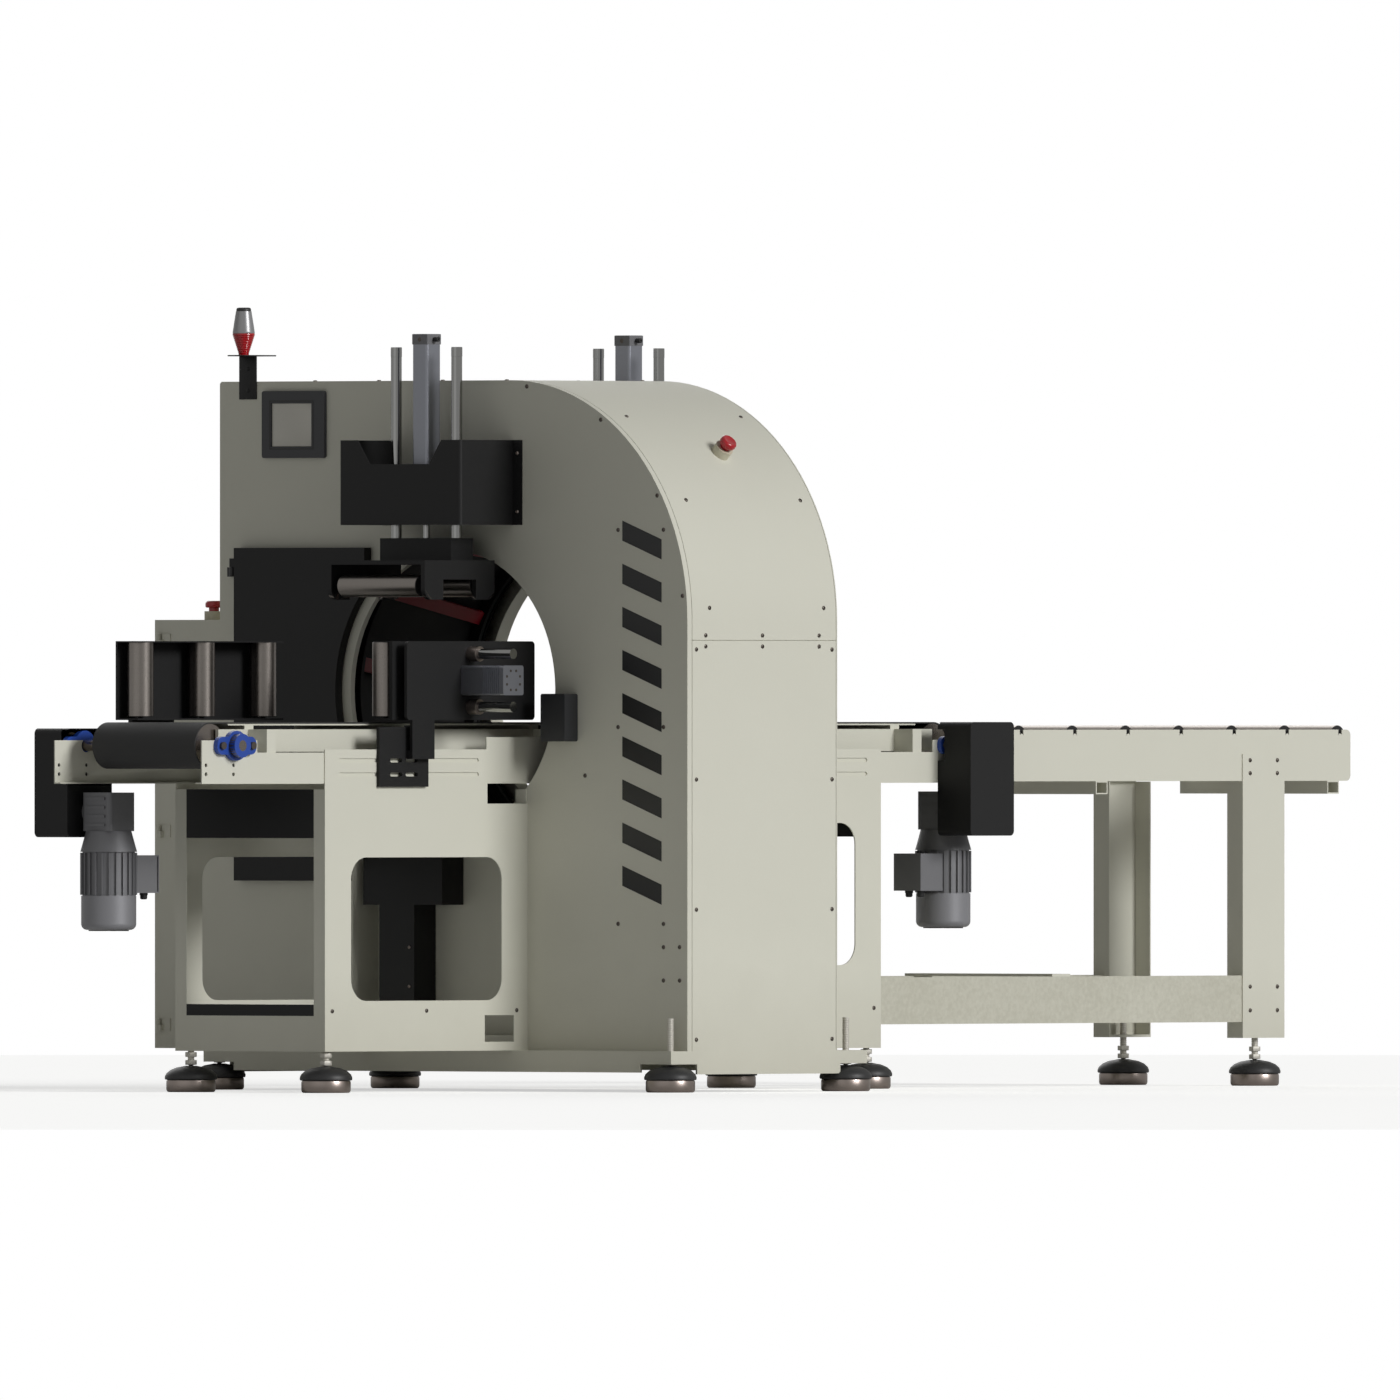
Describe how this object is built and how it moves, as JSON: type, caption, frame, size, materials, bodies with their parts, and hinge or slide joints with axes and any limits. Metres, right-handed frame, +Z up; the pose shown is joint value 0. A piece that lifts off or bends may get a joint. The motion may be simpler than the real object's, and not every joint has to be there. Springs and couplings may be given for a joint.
{
  "type": "orbital stretch wrapper",
  "caption": "Floor standing machine that carries goods on belts through a round opening while a rotating ring winds film round them, with top presses, side guides and a roller table.",
  "frame": {"origin": "centre of the machine's footprint, on the floor under the levelling feet", "axes": "+X the way the goods run and the longest extent, +Y across towards the control cabinet, +Z up"},
  "size_m": [3.897, 1.7238, 1.796],
  "materials": {
    "cream_paint": "satin powder coat",
    "black_paint": "fine texture powder coat",
    "belt_rubber": "matt",
    "blue_iron": "painted casting",
    "grey_cast": "painted casting",
    "foot_steel": "turned",
    "beacon_plastic": "gloss",
    "panel_plastic": "matt",
    "anodised": "anodised",
    "screw_steel": "zinc plated",
    "pale_plastic": "matt",
    "dark_red_paint": "satin",
    "film": "clear stretch film on a core",
    "red_plastic": "moulded",
    "wheel_rubber": "matt",
    "roller_steel": "turned",
    "roller_aluminium": "bare tube"
  },
  "bodies": {
    "root": {"plinth": "cream_paint", "front_skin": "cream_paint", "rear_skin": "cream_paint", "curved_cover": "cream_paint", "near_side_cover": "cream_paint", "far_cover": "cream_paint", "ring_frame": "black_paint", "infeed_base": "cream_paint", "outfeed_base": "cream_paint", "base_panels": "black_paint", "conveyor_frames": "cream_paint", "belts": "belt_rubber", "flange_bearings": "blue_iron", "gearmotors": "grey_cast", "chain_guards": "black_paint", "roller_table_frame": "cream_paint", "levelling_feet": "foot_steel", "control_cabinet": "cream_paint", "signal_beacon": "beacon_plastic", "touch_panel": "panel_plastic", "press_cylinders": "anodised", "press_covers": "black_paint", "guide_mounts": "black_paint", "cover_screws": "screw_steel", "switch_fittings": "pale_plastic"},
    "infeed_drive": {"infeed_drive_drum": "roller_steel"},
    "infeed_nose": {"infeed_nose_drum": "roller_steel"},
    "outfeed_drive": {"outfeed_drive_drum": "roller_steel"},
    "outfeed_nose": {"outfeed_nose_drum": "roller_steel"},
    "infeed_press": {"infeed_press_carriage": "black_paint"},
    "outfeed_press": {"outfeed_press_carriage": "black_paint"},
    "near_guide": {"near_guide_head": "black_paint"},
    "rotor": {"rotor_ring": "black_paint", "rotor_bars": "dark_red_paint"},
    "film": {"film_roll": "film"},
    "dancer": {"dancer_arm": "anodised"},
    "drive_wheel": {"ring_drive_wheel": "wheel_rubber"},
    "support_wheel_low": {"ring_support_wheel_low": "wheel_rubber"},
    "support_wheel_top": {"ring_support_wheel_top": "wheel_rubber"},
    "access": {"access_door": "black_paint"},
    "cabinet_leaf": {"cabinet_door": "cream_paint"},
    "cover_stop": {"cover_stop_button": "red_plastic"},
    "cabinet_stop": {"cabinet_stop_button": "red_plastic"},
    "table_roller_1": {"table_roller_1": "roller_aluminium"},
    "table_roller_2": {"table_roller_2": "roller_aluminium"},
    "table_roller_3": {"table_roller_3": "roller_aluminium"},
    "table_roller_4": {"table_roller_4": "roller_aluminium"},
    "table_roller_5": {"table_roller_5": "roller_aluminium"},
    "table_roller_6": {"table_roller_6": "roller_aluminium"},
    "table_roller_7": {"table_roller_7": "roller_aluminium"},
    "infeed_press_roller_outer": {"infeed_press_roller_outer": "roller_aluminium"},
    "infeed_press_roller_inner": {"infeed_press_roller_inner": "roller_aluminium"},
    "outfeed_press_roller_outer": {"outfeed_press_roller_outer": "roller_aluminium"},
    "outfeed_press_roller_inner": {"outfeed_press_roller_inner": "roller_aluminium"},
    "near_guide_roller_1": {"near_guide_roller_1": "roller_aluminium"},
    "far_guide_roller_1": {"far_guide_roller_1": "roller_aluminium"},
    "near_guide_roller_2": {"near_guide_roller_2": "roller_aluminium"},
    "far_guide_roller_2": {"far_guide_roller_2": "roller_aluminium"},
    "near_guide_roller_3": {"near_guide_roller_3": "roller_aluminium"},
    "far_guide_roller_3": {"far_guide_roller_3": "roller_aluminium"}
  },
  "joints": [
    {"name": "infeed_belt_drive", "type": "hinge", "parent": "root", "child": "infeed_drive", "pos_m": [-1.8445, -0.097, 0.791], "axis": [0, 1, 0], "continuous": true},
    {"name": "infeed_nose_turn", "type": "hinge", "parent": "root", "child": "infeed_nose", "pos_m": [-0.6675, -0.097, 0.816], "axis": [0, 1, 0], "continuous": true},
    {"name": "outfeed_belt_drive", "type": "hinge", "parent": "root", "child": "outfeed_drive", "pos_m": [0.5905, -0.097, 0.791], "axis": [0, 1, 0], "continuous": true},
    {"name": "outfeed_nose_turn", "type": "hinge", "parent": "root", "child": "outfeed_nose", "pos_m": [-0.5565, -0.097, 0.816], "axis": [0, 1, 0], "continuous": true},
    {"name": "table_roller_1_turn", "type": "hinge", "parent": "root", "child": "table_roller_1", "pos_m": [0.8145, -0.097, 0.811], "axis": [0, 1, 0], "continuous": true},
    {"name": "table_roller_2_turn", "type": "hinge", "parent": "root", "child": "table_roller_2", "pos_m": [0.9975, -0.097, 0.811], "axis": [0, 1, 0], "continuous": true},
    {"name": "table_roller_3_turn", "type": "hinge", "parent": "root", "child": "table_roller_3", "pos_m": [1.1805, -0.097, 0.811], "axis": [0, 1, 0], "continuous": true},
    {"name": "table_roller_4_turn", "type": "hinge", "parent": "root", "child": "table_roller_4", "pos_m": [1.3635, -0.097, 0.811], "axis": [0, 1, 0], "continuous": true},
    {"name": "table_roller_5_turn", "type": "hinge", "parent": "root", "child": "table_roller_5", "pos_m": [1.5465, -0.097, 0.811], "axis": [0, 1, 0], "continuous": true},
    {"name": "table_roller_6_turn", "type": "hinge", "parent": "root", "child": "table_roller_6", "pos_m": [1.7295, -0.097, 0.811], "axis": [0, 1, 0], "continuous": true},
    {"name": "table_roller_7_turn", "type": "hinge", "parent": "root", "child": "table_roller_7", "pos_m": [1.9125, -0.097, 0.811], "axis": [0, 1, 0], "continuous": true},
    {"name": "infeed_press_slide", "type": "slide", "parent": "root", "child": "infeed_press", "axis": [0, 0, -1], "range_m": [0, 0.085]},
    {"name": "outfeed_press_slide", "type": "slide", "parent": "root", "child": "outfeed_press", "axis": [0, 0, -1], "range_m": [0, 0.085]},
    {"name": "infeed_press_roller_outer_turn", "type": "hinge", "parent": "infeed_press", "child": "infeed_press_roller_outer", "pos_m": [-1.0965, -0.097, 1.156], "axis": [0, 1, 0], "continuous": true},
    {"name": "infeed_press_roller_inner_turn", "type": "hinge", "parent": "infeed_press", "child": "infeed_press_roller_inner", "pos_m": [-0.9125, -0.097, 1.156], "axis": [0, 1, 0], "continuous": true},
    {"name": "outfeed_press_roller_outer_turn", "type": "hinge", "parent": "outfeed_press", "child": "outfeed_press_roller_outer", "pos_m": [-0.1275, -0.097, 1.156], "axis": [0, 1, 0], "continuous": true},
    {"name": "outfeed_press_roller_inner_turn", "type": "hinge", "parent": "outfeed_press", "child": "outfeed_press_roller_inner", "pos_m": [-0.3115, -0.097, 1.156], "axis": [0, 1, 0], "continuous": true},
    {"name": "near_guide_slide", "type": "slide", "parent": "root", "child": "near_guide", "axis": [0, 1, 0], "range_m": [0, 0.1]},
    {"name": "near_guide_roller_1_turn", "type": "hinge", "parent": "near_guide", "child": "near_guide_roller_1", "pos_m": [-1.2885, -0.282, 0.858], "axis": [0, 0, 1], "continuous": true},
    {"name": "far_guide_roller_1_turn", "type": "hinge", "parent": "root", "child": "far_guide_roller_1", "pos_m": [-1.7105, 0.088, 0.858], "axis": [0, 0, 1], "continuous": true},
    {"name": "near_guide_roller_2_turn", "type": "hinge", "parent": "near_guide", "child": "near_guide_roller_2", "pos_m": [-1.0845, -0.282, 0.858], "axis": [0, 0, 1], "continuous": true},
    {"name": "far_guide_roller_2_turn", "type": "hinge", "parent": "root", "child": "far_guide_roller_2", "pos_m": [-1.506, 0.088, 0.858], "axis": [0, 0, 1], "continuous": true},
    {"name": "near_guide_roller_3_turn", "type": "hinge", "parent": "near_guide", "child": "near_guide_roller_3", "pos_m": [-0.8805, -0.282, 0.858], "axis": [0, 0, 1], "continuous": true},
    {"name": "far_guide_roller_3_turn", "type": "hinge", "parent": "root", "child": "far_guide_roller_3", "pos_m": [-1.3015, 0.088, 0.858], "axis": [0, 0, 1], "continuous": true},
    {"name": "ring_spin", "type": "hinge", "parent": "root", "child": "rotor", "pos_m": [-0.612, -0.097, 0.916], "axis": [1, 0, 0], "continuous": true},
    {"name": "film_unwind", "type": "hinge", "parent": "rotor", "child": "film", "pos_m": [-0.6195, -0.097, 1.486], "axis": [1, 0, 0], "continuous": true},
    {"name": "dancer_swing", "type": "hinge", "parent": "rotor", "child": "dancer", "pos_m": [-0.4845, -0.177, 1.346], "axis": [1, 0, 0], "range_deg": [0, 12], "stiffness_Nm_per_rad": 20, "springref_deg": -5.73},
    {"name": "drive_wheel_turn", "type": "hinge", "parent": "root", "child": "drive_wheel", "pos_m": [-0.4345, 0.23744, 0.51743], "axis": [1, 0, 0], "continuous": true},
    {"name": "support_wheel_low_turn", "type": "hinge", "parent": "root", "child": "support_wheel_low", "pos_m": [-0.4345, -0.43144, 0.51743], "axis": [1, 0, 0], "continuous": true},
    {"name": "support_wheel_top_turn", "type": "hinge", "parent": "root", "child": "support_wheel_top", "pos_m": [-0.4345, -0.097, 1.4363], "axis": [1, 0, 0], "continuous": true},
    {"name": "access_door_swing", "type": "hinge", "parent": "root", "child": "access", "pos_m": [-0.8785, 0.583, 0.48], "axis": [0, 0, -1], "range_deg": [0, 110]},
    {"name": "cabinet_door_swing", "type": "hinge", "parent": "root", "child": "cabinet_leaf", "pos_m": [-0.8525, 0.84, 0.094], "axis": [0, 0, 1], "range_deg": [0, 110]},
    {"name": "cover_stop_press", "type": "slide", "parent": "root", "child": "cover_stop", "axis": [0, 0.7193, -0.6947], "range_m": [0, 0.004], "stiffness_N_per_m": 2000, "springref_m": -0.001},
    {"name": "cabinet_stop_press", "type": "slide", "parent": "root", "child": "cabinet_stop", "axis": [0, 0, -1], "range_m": [0, 0.004], "stiffness_N_per_m": 2000, "springref_m": -0.001}
  ],
  "couplings": [
    {"joint": "infeed_nose_turn", "follows": "infeed_belt_drive", "ratio": 2},
    {"joint": "outfeed_nose_turn", "follows": "outfeed_belt_drive", "ratio": 2},
    {"joint": "drive_wheel_turn", "follows": "ring_spin", "ratio": -9.4},
    {"joint": "support_wheel_low_turn", "follows": "ring_spin", "ratio": -9.4},
    {"joint": "support_wheel_top_turn", "follows": "ring_spin", "ratio": -9.4}
  ]
}
